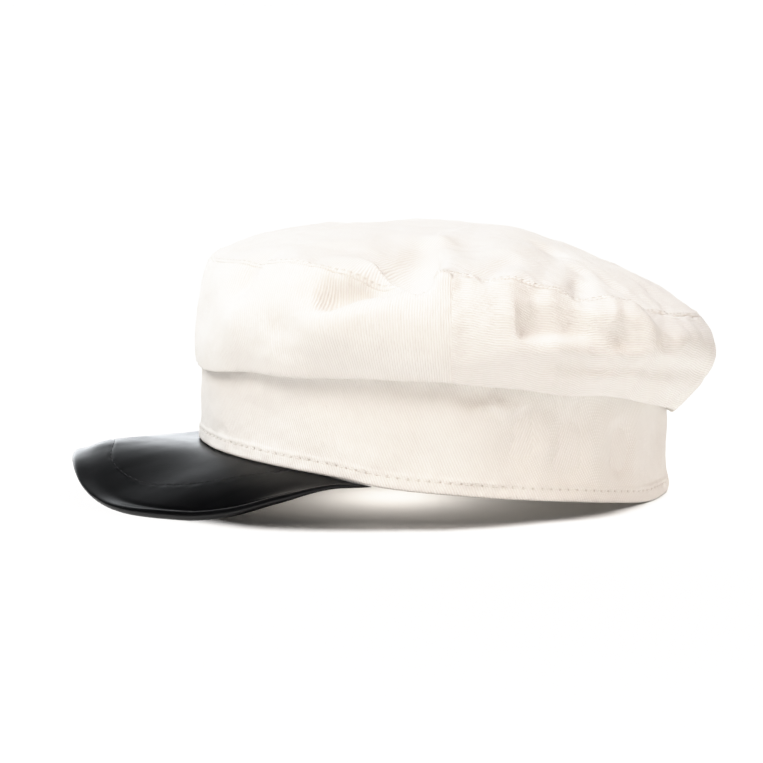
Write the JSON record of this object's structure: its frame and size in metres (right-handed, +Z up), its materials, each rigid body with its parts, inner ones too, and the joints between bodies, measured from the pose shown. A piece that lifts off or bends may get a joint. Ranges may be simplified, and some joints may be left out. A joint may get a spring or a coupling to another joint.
{
  "type": "sailor cap",
  "caption": "Soft cloth sailor cap: full, dented crown sewn to an upright headband, with a stiff arched visor under the front that ends in a rolled edge",
  "frame": {"origin": "the middle of the cap's outline in plan, on the surface that it rests on", "axes": "+X is the wearer's left, -Y the front where the visor points, +Z up"},
  "size_m": [0.2098, 0.279, 0.114],
  "materials": {
    "cloth": "ivory cotton twill, matt",
    "visor_leather": "smooth black faux leather, satin"
  },
  "bodies": {
    "root": {"crown_top": "cloth", "crown_front_panel": "cloth", "crown_back_panel": "cloth", "headband": "cloth", "visor": "visor_leather", "visor_piping": "visor_leather"}
  },
  "joints": []
}
